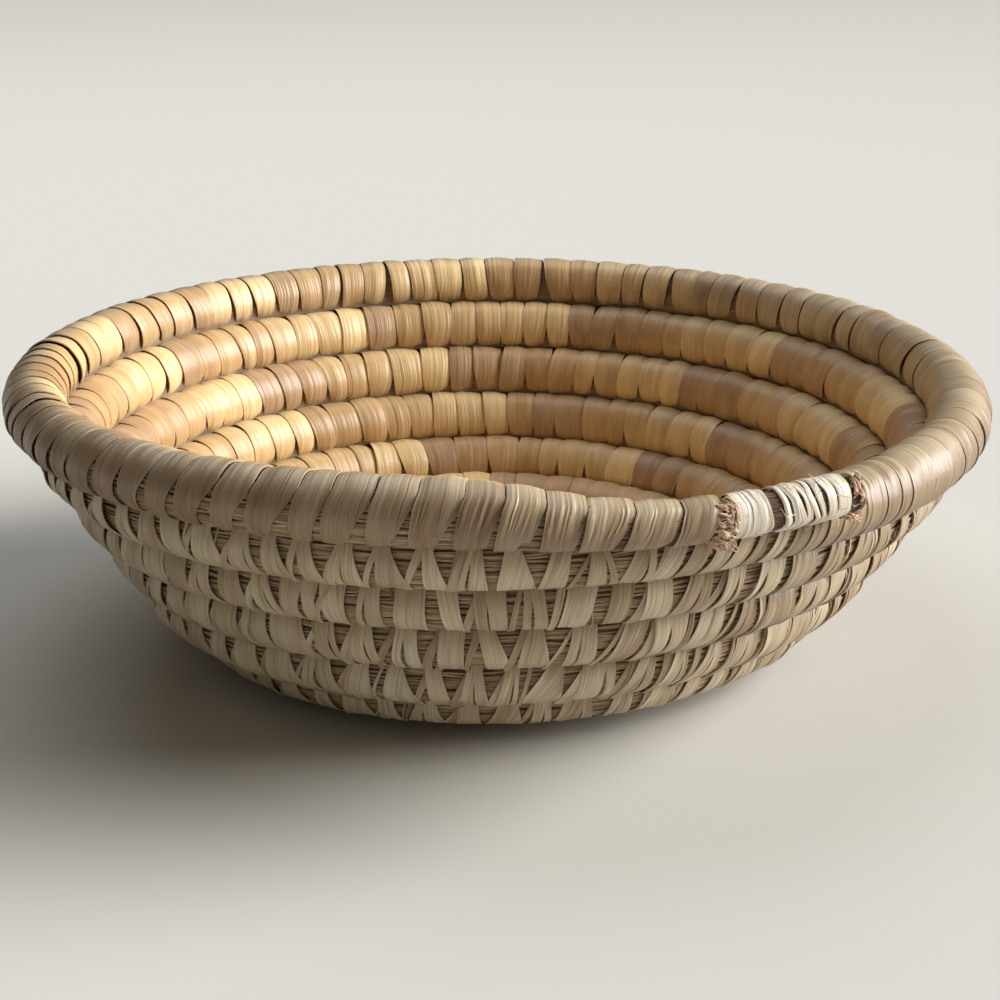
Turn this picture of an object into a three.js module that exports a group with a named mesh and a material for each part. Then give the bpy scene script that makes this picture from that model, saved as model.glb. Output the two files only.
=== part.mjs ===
// Shallow round bowl basket. One long bundle of grass starts at a knot in the base, spirals out and
// up to the rim, and is bound all along with flat palm-leaf strips. Near its end the coil thins to a
// tail, which lies lashed on the shoulder of the row below.
// Millimetres, +Z up, standing on Z = 0 with the knot on the axis.
import * as THREE from 'three';

// The coil
const RIM_RADIUS = 123.2; // from the axis to the middle of the rim row, where the coil would end unthinned
const WRAP_RADIUS = 7.1; // of the coil with its leaf wrapping, to the corners of its section
const LEAF_THICKNESS = 0.9; // leaf strips overlap, so this is about three leaves
const CLEARANCE = 0.3; // left between pieces that touch

// The wall and its bend into the base, counted in turns of the coil from the rim down
const WALL_ANGLE = THREE.MathUtils.degToRad(56); // above the floor
const STRAIGHT_TURNS = 4;
const BEND_TURNS = 2.5;
const LEAN_PER_TURN = 0.7; // each turn of the wall is laid a little further to +X than the one below

// The middle of the base
const KNOT_RADIUS = 6.5;
const KNOT_EDGE = 1.2; // of the rounding of the knot's edges
const START_RADIUS = 2.2; // of the coil where it leaves the knot

// The thin tail at the end of the rim row
const END_AZIMUTH = THREE.MathUtils.degToRad(-53.7); // from +X, to the left of +Y
const TAIL_RADIUS = 4.6;
const TAIL_ANGLE = THREE.MathUtils.degToRad(40); // of the tail above the middle of the row below
const THIN_TURNS = 0.05; // the tail is thin so far back from its end
const TAPER_TURNS = 0.07; // and takes so much more to grow to the full coil
const FRAY_TOOTH = 1.4; // of the ragged edges of the frayed fibres

// Lengths along the tail, from the coil's end back
const END_FRAY_LENGTH = 3.8;
const BAND_LENGTH = 4.9;
const LASHING_LENGTH = 3.85;
const BARE_LENGTH = 4; // where the stems show
const TAIL_WRAP_LENGTH = 6.4;
const INNER_FRAY_LENGTH = 6.4;

// Pieces and facets
const LASHINGS = 3;
const RIM_RUNS = 7;
const WALL_RUNS = [7, 7, 7, 4, 4]; // leaf runs of each turn from the second row down
const BASE_RUNS = 10;
const STEPS_PER_TURN = 28;
const WRAP_SIDES = 8; // flat sides face down
const CORE_SIDES = 6;
const KNOT_SIDES = 14;

// Colours
const LEAF_COLOURS = [0xc9a870, 0xb99a68, 0xd6b87e, 0xa98c60];
const TAIL_COLOUR = 0xcdbb98;
const STEM_COLOUR = 0x7a6144;
const FRAY_COLOUR = 0x9a6844;
const LEAF_ROUGHNESS = 0.55;
const STEM_ROUGHNESS = 0.85;

// Sizes worked out from those above
const FLAT_SHARE = Math.cos(Math.PI / WRAP_SIDES); // from a section's middle to its flat sides
const ROW_PITCH = 2 * WRAP_RADIUS + CLEARANCE + LEAN_PER_TURN * Math.cos(WALL_ANGLE);
const BASE_PITCH = 2 * WRAP_RADIUS * FLAT_SHARE + CLEARANCE; // flat side to flat side
const FLAT_TURN = STRAIGHT_TURNS + BEND_TURNS; // where the coil reaches the floor
const FULL_TURN = THIN_TURNS + TAPER_TURNS;
const START_ROW_RADIUS = KNOT_RADIUS + CLEARANCE + START_RADIUS * FLAT_SHARE;
const INNER_ROW_RADIUS = START_ROW_RADIUS + (START_RADIUS + WRAP_RADIUS) * FLAT_SHARE + CLEARANCE;
const FLAT_ROW_RADIUS = RIM_RADIUS - inwardAt(FLAT_TURN);
const INNER_TURN = FLAT_TURN + (FLAT_ROW_RADIUS - INNER_ROW_RADIUS) / BASE_PITCH;
const LAST_TURN = INNER_TURN + 1;
const TURNS_PER_MM_OF_TAIL = 1 / (2 * Math.PI * RIM_RADIUS);

// Slope of the wall at a turn, counted from the coil's end
function slopeAt(turn) {
  const share = THREE.MathUtils.clamp((turn - STRAIGHT_TURNS) / BEND_TURNS, 0, 1);
  return WALL_ANGLE * (1 - share);
}

// How far a turn lies in from the rim
function inwardAt(turn) {
  const straight = Math.min(turn, STRAIGHT_TURNS) * Math.cos(WALL_ANGLE);
  const bent = (Math.sin(WALL_ANGLE) - Math.sin(slopeAt(turn))) * (BEND_TURNS / WALL_ANGLE);
  return ROW_PITCH * (straight + bent) + BASE_PITCH * Math.max(turn - FLAT_TURN, 0);
}

// How far a turn lies down from the rim
function downAt(turn) {
  const straight = Math.min(turn, STRAIGHT_TURNS) * Math.sin(WALL_ANGLE);
  const bent = (Math.cos(slopeAt(turn)) - Math.cos(WALL_ANGLE)) * (BEND_TURNS / WALL_ANGLE);
  return ROW_PITCH * (straight + bent);
}

// The coil as it would be without its thin start and tail
function plainRow(turn) {
  return {
    radius: RIM_RADIUS - inwardAt(turn),
    height: WRAP_RADIUS * FLAT_SHARE + downAt(FLAT_TURN) - downAt(turn),
    wrap: WRAP_RADIUS,
  };
}

// The first turn round the knot, thick at its outer end and thin at the knot
function startRow(turn) {
  const share = turn - INNER_TURN;
  const wrap = THREE.MathUtils.lerp(WRAP_RADIUS, START_RADIUS, share);
  return {
    radius: THREE.MathUtils.lerp(INNER_ROW_RADIUS, START_ROW_RADIUS, share),
    height: wrap * FLAT_SHARE,
    wrap,
  };
}

// The tail, which sinks from the top of the row below to its shoulder as it thins
function tailRow(turn) {
  const below = plainRow(turn + 1);
  const growth = THREE.MathUtils.smoothstep(turn, THIN_TURNS, FULL_TURN);
  const wrap = THREE.MathUtils.lerp(TAIL_RADIUS, WRAP_RADIUS, growth);
  const angle = THREE.MathUtils.lerp(TAIL_ANGLE, WALL_ANGLE, growth);
  const distance = ROW_PITCH - WRAP_RADIUS + wrap;
  return {
    radius: below.radius + distance * Math.cos(angle),
    height: below.height + distance * Math.sin(angle),
    wrap,
  };
}

function rowAt(turn) {
  if (turn < FULL_TURN) {
    return tailRow(turn);
  }
  return turn > INNER_TURN ? startRow(turn) : plainRow(turn);
}

// Sizes of the sections, from the coil's size with its wrapping
const wrapOutside = (wrap) => wrap;
const wrapInside = (wrap) => wrap - LEAF_THICKNESS;
const coreOutside = (wrap) => wrapInside(wrap) * FLAT_SHARE - CLEARANCE;

// Corners of the coil's section at a turn, in an upright plane through the axis
function sectionAt(turn, sizeOf, sides) {
  const row = rowAt(turn);
  const size = sizeOf(row.wrap);
  const azimuth = END_AZIMUTH - 2 * Math.PI * turn;
  const shift = LEAN_PER_TURN * Math.max(FLAT_TURN - turn, 0);
  return Array.from({ length: sides }, (_, side) => {
    const angle = (side + 0.5) * ((2 * Math.PI) / sides);
    const reach = row.radius + size * Math.cos(angle);
    return new THREE.Vector3(
      reach * Math.cos(azimuth) + shift,
      reach * Math.sin(azimuth),
      row.height + size * Math.sin(angle),
    );
  });
}

// The same between two steps of the coil, on the straight facets that join them
function facetSectionAt(turn, sizeOf, sides) {
  const step = Math.floor(turn * STEPS_PER_TURN);
  const from = sectionAt(step / STEPS_PER_TURN, sizeOf, sides);
  const to = sectionAt((step + 1) / STEPS_PER_TURN, sizeOf, sides);
  const share = turn * STEPS_PER_TURN - step;
  return from.map((corner, side) => corner.lerp(to[side], share));
}

// Turns at which a piece of the coil has a section: its two ends and each step between
function stepsBetween(from, to) {
  const turns = [from];
  const first = Math.floor(from * STEPS_PER_TURN) + 1;
  for (let step = first; step / STEPS_PER_TURN < to; step += 1) {
    turns.push(step / STEPS_PER_TURN);
  }
  turns.push(to);
  return turns;
}

// Triangles of the skin between neighbouring rings of corners
function skinFaces(ringCount, sides, firstCorner, facesIn) {
  const faces = [];
  for (let ring = 0; ring + 1 < ringCount; ring += 1) {
    for (let side = 0; side < sides; side += 1) {
      const here = firstCorner + ring * sides + side;
      const beside = firstCorner + ring * sides + ((side + 1) % sides);
      const quad = [here, beside, here + sides, beside, beside + sides, here + sides];
      faces.push(...(facesIn ? quad.reverse() : quad));
    }
  }
  return faces;
}

function solidFrom(corners, faces) {
  const geometry = new THREE.BufferGeometry();
  geometry.setFromPoints(corners);
  geometry.setIndex(faces);
  const flat = geometry.toNonIndexed();
  flat.computeVertexNormals();
  return flat;
}

// A closed rod through rings of corners
function rodGeometry(rings) {
  const sides = rings[0].length;
  const lastRing = (rings.length - 1) * sides;
  const faces = skinFaces(rings.length, sides, 0, false);
  for (let side = 1; side + 1 < sides; side += 1) {
    faces.push(0, side + 1, side);
    faces.push(lastRing, lastRing + side, lastRing + side + 1);
  }
  return solidFrom(rings.flat(), faces);
}

// A closed sleeve between outer and inner rings of corners
function sleeveGeometry(outerRings, innerRings) {
  const sides = outerRings[0].length;
  const innerStart = outerRings.length * sides;
  const lastRing = (outerRings.length - 1) * sides;
  const faces = [
    ...skinFaces(outerRings.length, sides, 0, false),
    ...skinFaces(innerRings.length, sides, innerStart, true),
  ];
  for (let side = 0; side < sides; side += 1) {
    const next = (side + 1) % sides;
    faces.push(side, innerStart + side, next);
    faces.push(innerStart + side, innerStart + next, next);
    faces.push(lastRing + side, lastRing + next, innerStart + lastRing + side);
    faces.push(innerStart + lastRing + side, lastRing + next, innerStart + lastRing + next);
  }
  return solidFrom([...outerRings.flat(), ...innerRings.flat()], faces);
}

function addPiece(parent, name, geometry, color, roughness) {
  const material = new THREE.MeshStandardMaterial({ color, roughness, metalness: 0 });
  const mesh = new THREE.Mesh(geometry, material);
  mesh.name = name;
  parent.add(mesh);
}

// Half the space left between two pieces that follow each other along the coil, in turns
function halfGapAt(turn) {
  return CLEARANCE / 2 / (2 * Math.PI * rowAt(turn).radius);
}

// A stretch of leaf wrapping round the coil
function addWrap(parent, name, from, to, color) {
  const turns = stepsBetween(from + halfGapAt(from), to - halfGapAt(to));
  const outer = turns.map((turn) => facetSectionAt(turn, wrapOutside, WRAP_SIDES));
  const inner = turns.map((turn) => facetSectionAt(turn, wrapInside, WRAP_SIDES));
  addPiece(parent, name, sleeveGeometry(outer, inner), color, LEAF_ROUGHNESS);
}

// Neighbouring stretches that share a part of the coil evenly
function addWraps(parent, label, from, to, count) {
  const digits = String(count).length;
  const span = (to - from) / count;
  for (let run = 0; run < count; run += 1) {
    const name = `${label}_${String(run + 1).padStart(digits, '0')}`;
    const start = from + span * run;
    addWrap(parent, name, start, start + span, LEAF_COLOURS[run % LEAF_COLOURS.length]);
  }
}

// A collar of loose fibres with ragged edges, every second tooth drawn back
function addFray(parent, name, from, to) {
  const tooth = FRAY_TOOTH * TURNS_PER_MM_OF_TAIL;
  const edges = [
    { turn: from + halfGapAt(from), drawnBack: tooth },
    { turn: to - halfGapAt(to), drawnBack: -tooth },
  ];
  const ragged = (edge, sizeOf) => Array.from({ length: WRAP_SIDES }, (_, side) => {
    const turn = edge.turn + (side % 2) * edge.drawnBack;
    return facetSectionAt(turn, sizeOf, WRAP_SIDES)[side];
  });
  const outer = edges.map((edge) => ragged(edge, wrapOutside));
  const inner = edges.map((edge) => ragged(edge, wrapInside));
  addPiece(parent, name, sleeveGeometry(outer, inner), FRAY_COLOUR, STEM_ROUGHNESS);
}

// The bundle of stems, and the least gap between its turns
function addCore(parent) {
  const turns = stepsBetween(0, LAST_TURN);
  const rings = turns.map((turn) => sectionAt(turn, coreOutside, CORE_SIDES));
  addPiece(parent, 'grass_core', rodGeometry(rings), STEM_COLOUR, STEM_ROUGHNESS);
  let leastGap = Infinity;
  rings.forEach((ring, here) => {
    rings.slice(here + STEPS_PER_TURN / 2).forEach((other) => {
      ring.forEach((corner) => other.forEach((far) => {
        leastGap = Math.min(leastGap, corner.distanceTo(far));
      }));
    });
  });
  console.log(`least gap of the grass coil to itself: ${leastGap.toFixed(2)} mm`);
}

// The knot, a round button as thick as the base, with rounded edges
function addKnot(parent) {
  const top = 2 * WRAP_RADIUS * FLAT_SHARE;
  const outline = [
    new THREE.Vector2(KNOT_RADIUS - KNOT_EDGE, 0),
    new THREE.Vector2(KNOT_RADIUS, KNOT_EDGE),
    new THREE.Vector2(KNOT_RADIUS, top - KNOT_EDGE),
    new THREE.Vector2(KNOT_RADIUS - KNOT_EDGE, top),
  ];
  const rings = outline.map((point) => Array.from({ length: KNOT_SIDES }, (_, side) => {
    const angle = side * ((2 * Math.PI) / KNOT_SIDES);
    return new THREE.Vector3(point.x * Math.cos(angle), point.x * Math.sin(angle), point.y);
  }));
  addPiece(parent, 'start_knot', rodGeometry(rings), LEAF_COLOURS[1], LEAF_ROUGHNESS);
}

// The tail's lashings, laid one after the other from the coil's end; gives the turn where they stop
function addTail(parent) {
  let end = 0;
  const stretch = (length) => {
    const from = end;
    end += length * TURNS_PER_MM_OF_TAIL;
    return [from, end];
  };
  addFray(parent, 'tail_fray_1', ...stretch(END_FRAY_LENGTH));
  addWrap(parent, 'tail_band', ...stretch(BAND_LENGTH), TAIL_COLOUR);
  for (let lashing = 1; lashing <= LASHINGS; lashing += 1) {
    addWrap(parent, `tail_lashing_${lashing}`, ...stretch(LASHING_LENGTH), TAIL_COLOUR);
  }
  stretch(BARE_LENGTH);
  addWrap(parent, 'tail_wrap', ...stretch(TAIL_WRAP_LENGTH), TAIL_COLOUR);
  addFray(parent, 'tail_fray_2', ...stretch(INNER_FRAY_LENGTH));
  return end;
}

function buildBasket() {
  const basket = new THREE.Group();
  basket.name = 'basket';
  addCore(basket);
  addKnot(basket);
  const tailEnd = addTail(basket);
  addWraps(basket, 'rim_wrap', tailEnd, 1, RIM_RUNS);
  WALL_RUNS.forEach((count, row) => {
    addWraps(basket, `wall${row + 2}_wrap`, row + 1, row + 2, count);
  });
  addWraps(basket, 'base_wrap', WALL_RUNS.length + 1, LAST_TURN, BASE_RUNS);
  return basket;
}

export default buildBasket();
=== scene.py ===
import math

import bpy
import numpy as np
from mathutils import Matrix, Vector


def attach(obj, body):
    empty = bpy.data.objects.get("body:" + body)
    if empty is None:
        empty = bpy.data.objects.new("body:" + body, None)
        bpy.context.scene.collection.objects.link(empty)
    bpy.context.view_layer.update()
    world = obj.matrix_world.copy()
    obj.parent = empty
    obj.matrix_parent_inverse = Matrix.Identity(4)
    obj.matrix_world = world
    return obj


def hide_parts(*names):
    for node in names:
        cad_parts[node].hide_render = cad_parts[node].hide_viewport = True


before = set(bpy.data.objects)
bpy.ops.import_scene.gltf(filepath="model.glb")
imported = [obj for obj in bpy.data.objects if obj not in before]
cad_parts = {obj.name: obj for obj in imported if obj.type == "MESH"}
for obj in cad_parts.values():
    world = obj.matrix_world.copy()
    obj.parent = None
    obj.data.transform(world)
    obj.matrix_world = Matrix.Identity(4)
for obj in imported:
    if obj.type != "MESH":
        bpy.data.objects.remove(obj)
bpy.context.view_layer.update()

MM = 0.001
SEED = 11

# The coil, as in the CAD model
RIM_RADIUS = 123.2
WRAP_RADIUS = 7.1
CLEARANCE = 0.3
WALL_ANGLE = math.radians(56)
STRAIGHT_TURNS = 4.0
BEND_TURNS = 2.5
LEAN_PER_TURN = 0.7
KNOT_RADIUS = 6.5
START_RADIUS = 2.2
END_AZIMUTH = math.radians(-53.7)
TAIL_RADIUS = 4.6
TAIL_ANGLE = math.radians(40)
THIN_TURNS = 0.05
TAPER_TURNS = 0.07
WRAP_SIDES = 8

# Lengths along the tail, from the coil's end back
END_FRAY_LENGTH = 3.8
BAND_LENGTH = 4.9
LASHING_LENGTH = 3.85
LASHINGS = 3
BARE_LENGTH = 4.0
TAIL_WRAP_LENGTH = 6.4
INNER_FRAY_LENGTH = 6.4

# Leaf runs of each turn
RIM_RUNS = 7
WALL_RUNS = (7, 7, 7, 4, 4)
BASE_RUNS = 10

# Sizes worked out from those above
FLAT_SHARE = math.cos(math.pi / WRAP_SIDES)
ROW_PITCH = 2 * WRAP_RADIUS + CLEARANCE + LEAN_PER_TURN * math.cos(WALL_ANGLE)
BASE_PITCH = 2 * WRAP_RADIUS * FLAT_SHARE + CLEARANCE
FLAT_TURN = STRAIGHT_TURNS + BEND_TURNS
FULL_TURN = THIN_TURNS + TAPER_TURNS
START_ROW_RADIUS = KNOT_RADIUS + CLEARANCE + START_RADIUS * FLAT_SHARE
INNER_ROW_RADIUS = START_ROW_RADIUS + (START_RADIUS + WRAP_RADIUS) * FLAT_SHARE + CLEARANCE
TURNS_PER_MM_OF_TAIL = 1 / (2 * math.pi * RIM_RADIUS)

# The leaf strips
STRIP_THICKNESS = 0.32
STRIP_ROWS = 36
STRIP_COLUMNS = 11
WRAP_STEP = 8.4  # along the coil from strip to strip, on the whole
DENSE_STEP = 4.6  # the same beside and under the tail
DENSE_WIDTH = 1.32
DENSE_LEAN = 2.2
DENSE_FROM = 0.965
DENSE_TO = 1.055
FLOOR_GAP = 0.12
LEAF_LENGTH = 72.0  # of the coil bound by one leaf, which pales along its length
LEAF_STARTS = (0.588, 1.630, 2.577, 3.608, 4.553, 5.593)  # a turn at which a leaf starts, by row

# Lines of a strip round the coil's section, from its tucked hem outside over the top to the inside:
# out of the wall, up the wall and half width, as shares of the coil's size and of the step
WALL_LINE = np.array([
    (0.22, -0.84, 0.22), (0.50, -0.82, 0.28), (0.68, -0.73, 0.30), (0.90, -0.45, 0.32),
    (1.02, -0.05, 0.33), (1.00, 0.32, 0.33), (0.82, 0.66, 0.32), (0.42, 0.95, 0.33),
    (0.00, 1.04, 0.40), (-0.53, 0.93, 0.47), (-0.94, 0.48, 0.51), (-1.03, 0.00, 0.52),
    (-0.95, -0.48, 0.51), (-0.65, -0.88, 0.45), (-0.20, -1.02, 0.34),
])
RIM_LINE = np.array([
    (0.60, -1.00, 0.45), (0.76, -0.86, 0.48), (0.87, -0.66, 0.495), (0.97, -0.36, 0.50),
    (1.03, -0.02, 0.505), (1.00, 0.32, 0.51), (0.80, 0.68, 0.51), (0.42, 0.94, 0.515),
    (0.00, 1.03, 0.515), (-0.52, 0.92, 0.515), (-0.94, 0.47, 0.52), (-1.03, 0.00, 0.515),
    (-0.95, -0.48, 0.505), (-0.65, -0.88, 0.45), (-0.20, -1.02, 0.34),
])
ROUND_LINE = np.array([
    (0.00, -1.00, 0.50), (0.42, -0.91, 0.50), (0.78, -0.63, 0.52), (0.95, -0.32, 0.52),
    (1.02, 0.02, 0.54), (0.97, 0.33, 0.54), (0.78, 0.66, 0.54), (0.42, 0.93, 0.54),
    (0.00, 1.02, 0.54), (-0.50, 0.90, 0.54), (-0.92, 0.45, 0.54), (-1.03, 0.00, 0.54),
    (-0.93, -0.45, 0.52), (-0.62, -0.83, 0.50), (-0.20, -1.00, 0.50),
])
CROSS_LINE = np.array([
    (0.45, -0.86), (0.70, -0.76), (0.91, -0.44), (1.00, -0.05), (0.98, 0.30), (0.80, 0.64), (0.38, 0.94),
])

FACE_OUT = 0.80  # how much a point's place out of and up the wall counts towards its place on the
FACE_UP = 0.60  # outer face, seen from a little above the rim
HEM_ROWS = 3  # rows of the lines that belong to the hem
HEM_REACH = 0.45  # share of a strip that a slanting cut of its hem draws up
HEM_DROP = 0.82  # of the lines above, as a share of the coil's size
HEM_DROPS = (0.65, 0.77, 0.83, 1.0, 1.08, 1.0, 1.0)  # of each row of the wall
ROW_WIDTHS = (1.0, 0.80, 1.08, 1.0, 0.95, 0.92, 0.9)  # of the strips outside, by row
ROW_TAPERS = (0.0, 0.30, 0.04, 0.08, 0.26, 0.24, 0.1)  # by which they narrow to their tops, by row
CROSS_SHARE = (0.0, 0.75, 0.5, 0.8, 0.75, 0.6, 0.2)  # of the gaps with a thin strip across
PAIR_SHARE = (0.0, 0.15, 0.06, 0.12, 0.55, 0.4, 0.2)  # of the strips that are two thin ones

# Where the strips differ: azimuth and width in degrees, turns, or place from the middle to the side
RIGHT_FRONT = (-40, 34)  # the strips lie closer there and lean more
FRONT = (-110, 38)  # the rim's strips are cut to slanting tongues there
RIM_ENDS = (0.99, 1.02)
LEFT_SIDE = (0.15, 0.6)
RIGHT_SIDE = (0.1, 0.7)

# The outer face of a strip: where its top is, and the way from there to its foot
WALL_FACE = np.array((0.25, 1.28))
RIM_FACE = np.array((0.70, 1.82))

# Widths of the strips: mean, spread, least and most, or changes by place
STEP_CHANGE = (1.0, 0.12, 0.75, 1.3)
WIDTH_CHANGE = (1.0, 0.15, 0.72, 1.3)
TAPER_CHANGE = (0.14, -0.3, 0.45)
RIM_WIDTH = (0.935, 0.03, 0.87, 1.0)
DENSE_RIM_WIDTH = 0.88
TOP_GAP = 0.03  # between the rim's strips at the right, over its top and inside
INNER_GAP = 0.04
LEFT_GAP = 0.15  # between the rim's strips at the left, outside
RIGHT_CLOSING = 0.035

# Leans, cuts and tears of the strips
SIDE_LEAN = 1.6  # of the strips at the sides towards the front, in millimetres
CUT_FROM = 0.34  # of the rim's face, from its top, above the gaps between its strips
SIDE_CUT = 0.06  # share of the cuts in the rim's strips that is left away from the front
LEAST_WIDTH = 0.8
SPLIT_SHARE = 0.3  # of the strips outside that are torn in two
SPLIT_COLUMNS = 3  # at least, on each side of a tear
SLIT_OVERLAP = 0.01  # of the two halves where they aren't torn, as a share of the width
HEM_CUTS = ((0.05, 0.30), (-0.03, 0.10), (0.0, 0.08), (-0.1, 0.4))  # slants, least and start

# Relief of the strips, in millimetres
RIM_TILT = -0.36  # rise of the right edge over the middle, outside
RIGHT_RIM_TILT = -0.10
LEFT_RIM_TILT = 0.06
CROWNS = ((0.25, 0.50), (0.20, 0.40), (0.0, 0.12))  # inside the wall, inside the rim and outside
RIM_CURL = 0.3  # share of the curl that is left on the rim
INNER_FOLDS = 0.5  # share of the folds that is left inside
HEM_PRESSED = 0.7  # share of the relief that is lost at the hem
FOLD_COUNTS = (3, 6)
FOLD_HEIGHT = 0.15

# Pleats of the rim's first strips
PLEATED_TO = 0.125
PLEATS = 11
PLEAT_COLUMNS = 23
PLEAT_HEIGHT = 0.16

# Tones of the strips, from 0 for dark to 1 for pale; several outside are painted light and shade by place
WALL_TONES = (0.40, 1.10)
# Partly painted shade: the rim's strips are darker outside than the wall's, partly their own colour and
# partly the shade on the rim's face
RIM_TONES_AND_SHADE = (-0.15, 0.24)
# Painted light: the lowest rows of the wall are paler outside, to lift the shade near the floor
ROW_PAINTED_LIGHT = (0, 0, 0, 0, 0.1, 0.2, 0.3)
# Painted light: the wall's strips are paler at the front, which is turned away from the light
FRONT_PAINTED_LIGHT = 0.15
# Painted shade: the wall's strips are darker at the right, to tone down the light that falls there
RIGHT_PAINTED_SHADE = -0.30
# Painted light: the rim's strips are paler over its top, where the light falls
TOP_PAINTED_LIGHT = 0.50
# Painted shade: the rim's strips are darker at the left, away from the light
LEFT_PAINTED_SHADE = -0.22
# Where the outer colour takes over from the inner one: the duller outside is partly weathering and partly
# painted shade, the golden inside partly painted warm light
BLEACH_AND_SHADE_FROM = (-0.85, -1.10)  # out of the wall, on the wall and on the rim
BLEACH_AND_SHADE_TO = (-0.05, -0.40)
GRAIN_SHIFT = 500  # at most, so that no two strips have the same grain

# Thin strips outside: ranges of foot, head or lean, half width and lift
CROSSING = ((0.22, 0.42), (0.62, 0.9), (0.35, 0.95), (0.05, 0.3))
LIVELY = ((0.34, 0.60), (0.4, 2.2), (0.25, 0.7), (0.0, 0.25))
PAIRED = ((0.40, 0.62), (0.0, 0.2), (1.0, 1.6), (0.1, 0.35))
LIVELY_SHARE = 0.6
THREAD_SHARE = 0.2
CROSS_COLUMNS = 5

# Strips round the tail: middle and width as shares of their stretch, fold height, bend and lean
BAND_STRIPS = (
    (0.20, 0.38, 0.10, 0.3, 0.2), (0.58, 0.34, 0.09, 0.4, 0.3), (0.94, 0.26, 0.14, 0.7, 0.1),
)
TAIL_WRAP_STRIPS = (
    (0.86, 0.34, 0.14, 0.2, 0.7), (0.54, 0.34, 0.16, 0.4, 0.4), (0.24, 0.30, 0.18, 0.6, 0.5),
    (-0.05, 0.24, 0.20, 0.9, 0.0),
)
LASHING_STRIPS = (
    ((0.28, 0.42, 0.16, 1.2, 0.5), (0.78, 0.32, 0.18, 1.6, -0.2)),
    ((0.24, 0.40, 0.18, 1.8, -0.5), (0.72, 0.38, 0.18, 1.4, 0.6)),
    ((0.10, 0.30, 0.20, 2.0, -0.3), (0.46, 0.40, 0.18, 1.5, 0.7), (0.92, 0.40, 0.16, 1.1, 0.2)),
)
KINKS = 9  # along each strip round the tail
HAIRS = 4  # stray fibres on each stretch of the tail
STUBS = 9  # stiff fibre ends on each tuft
TUFT_COVER = 4.0  # of the inner tuft, under the first strip of the rim

# Loose fibres of the tail: least and most of each; angles go round the tail from the outside
FIBRE_SIDES = 5
ASIDE = (0.31, 0.17, 0.93)  # a direction that no fibre follows
END_TUFT = np.concatenate([np.linspace(-1.3, -0.25, 20), np.linspace(0.2, 1.8, 4)])
INNER_TUFT = np.linspace(-1.2, 1.8, 56)
CRIMPED_STEPS = 22
CRIMPED = ((2.0, 3.6), (0, 2 * math.pi), (-0.08, 0.08), (0.18, 0.36))  # wave, phase, rise, radius
OVERHANG = 0.6  # of the crimped fibres at the tuft's ends
END_DROOPS = 8
INNER_DROOPS = 24
DROOP_STEPS = 14
DROOPING = (  # sweep, wave, phase, bow, height of the head and of the foot, and radius
    (0.5, 4.5), (4, 9), (0, 6), (0.6, 1.3), (-0.5, -0.2), (-1.35, -0.85), (0.16, 0.32),
)
STUB_STEPS = 8
STUBBY = ((0.9, 1.7), (0.5, 1.1), (0.06, 0.16), (0.2, 0.34))  # start, reach, rise and radius
HAIR_STEPS = 10

# The stems
STEMS = 58
STEM_RADIUS = 0.35
STEM_STEP = 6.0
STEM_SIDES = 5
STEM_RING = 6.5
STEM_SPREAD = math.radians(106)
CORE_RADIUS = 6.2
CORE_TOP = 6.4
CORE_FOOT = 8.7  # into the row below, so that no light comes through between rows
CORE_SIDES = 12
# Painted shade: the core is dark, as the shade deep between the stems
CORE_PAINTED_SHADE = 0.14
CORE_FLOOR = FLOOR_GAP + 1.0
STEM_FLOOR = FLOOR_GAP + 0.9
STEM_WAVES = (35.0, 62.0, 110.0)
STEM_PHASES = (0, 6.28)

# The knot
KNOT_RINGS = 25
KNOT_SIDES = 96

# Grain of the materials: waves to the millimetre across and along the fibres, and detail
LEAF_STREAKS = (2.6, 0.04, 3.0)
LEAF_CREASES = (0.42, 0.010, 2.0)
LEAF_PATCHES = (0.16, 0.06, 2.0)
LEAF_FOLDS = (0.55, 0.006, 2.0)
FIBRE_STREAKS = (1.4, 0.06, 3.0)

# Bumps of the materials: strength and distance
LEAF_FOLD_BUMP = (0.6, 0.0009)
LEAF_STREAK_BUMP = (0.35, 0.0002)
FIBRE_BUMP = (0.3, 0.0002)
SHARP_ANGLE = math.radians(20)

# The stage: a distant light from the right, and near lights with place, size, power and shade
FLOOR_SIZE = 60.0
KEY_FROM = (1.22, 0.16, 0.57)
KEY_SPREAD = math.radians(40.5)
KEY_STRENGTH = 6.5
FILL_LIGHT = ((0.3, -1.5, 0.8), 1.2, 0.6, (1.0, 0.95, 0.88))
OVERHEAD_LIGHT = ((-0.3, 0.7, 1.6), 1.6, 11.0, (0.90, 0.95, 1.0))
LIGHT_AIM = (0.0, 0.0, 0.05)
ROOM_SHADE = (0.95, 0.87, 0.77, 1.0)
ROOM_STRENGTH = 0.13

# The camera
CAMERA_AZIMUTH = math.radians(1.3)  # to the right of the front
CAMERA_ELEVATION = math.radians(18.76)
CAMERA_DISTANCE = 527.2
CAMERA_TARGET = (1.87, 0.0, 32.7)
CAMERA_ROLL = math.radians(-0.67)
CAMERA_LENS = 71.3
CAMERA_SENSOR = 36.0

rng = np.random.default_rng(SEED)


# Helpers

def smooth_step(value, low, high):
    share = np.clip((value - low) / (high - low), 0, 1)
    return share * share * (3 - 2 * share)


def mix(first, second, share):
    return first + (second - first) * share


def even_shares(count):
    return np.linspace(0, 1, count)


def edge_to_edge(count):
    return np.linspace(-1, 1, count)


def vary(mean, spread, least, most):
    return np.clip(rng.normal(mean, spread), least, most)


def pick(ranges):
    return [rng.uniform(*span) for span in ranges]


# The coil's path

def slope_at(turn):
    share = np.clip((turn - STRAIGHT_TURNS) / BEND_TURNS, 0, 1)
    return WALL_ANGLE * (1 - share)


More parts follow.
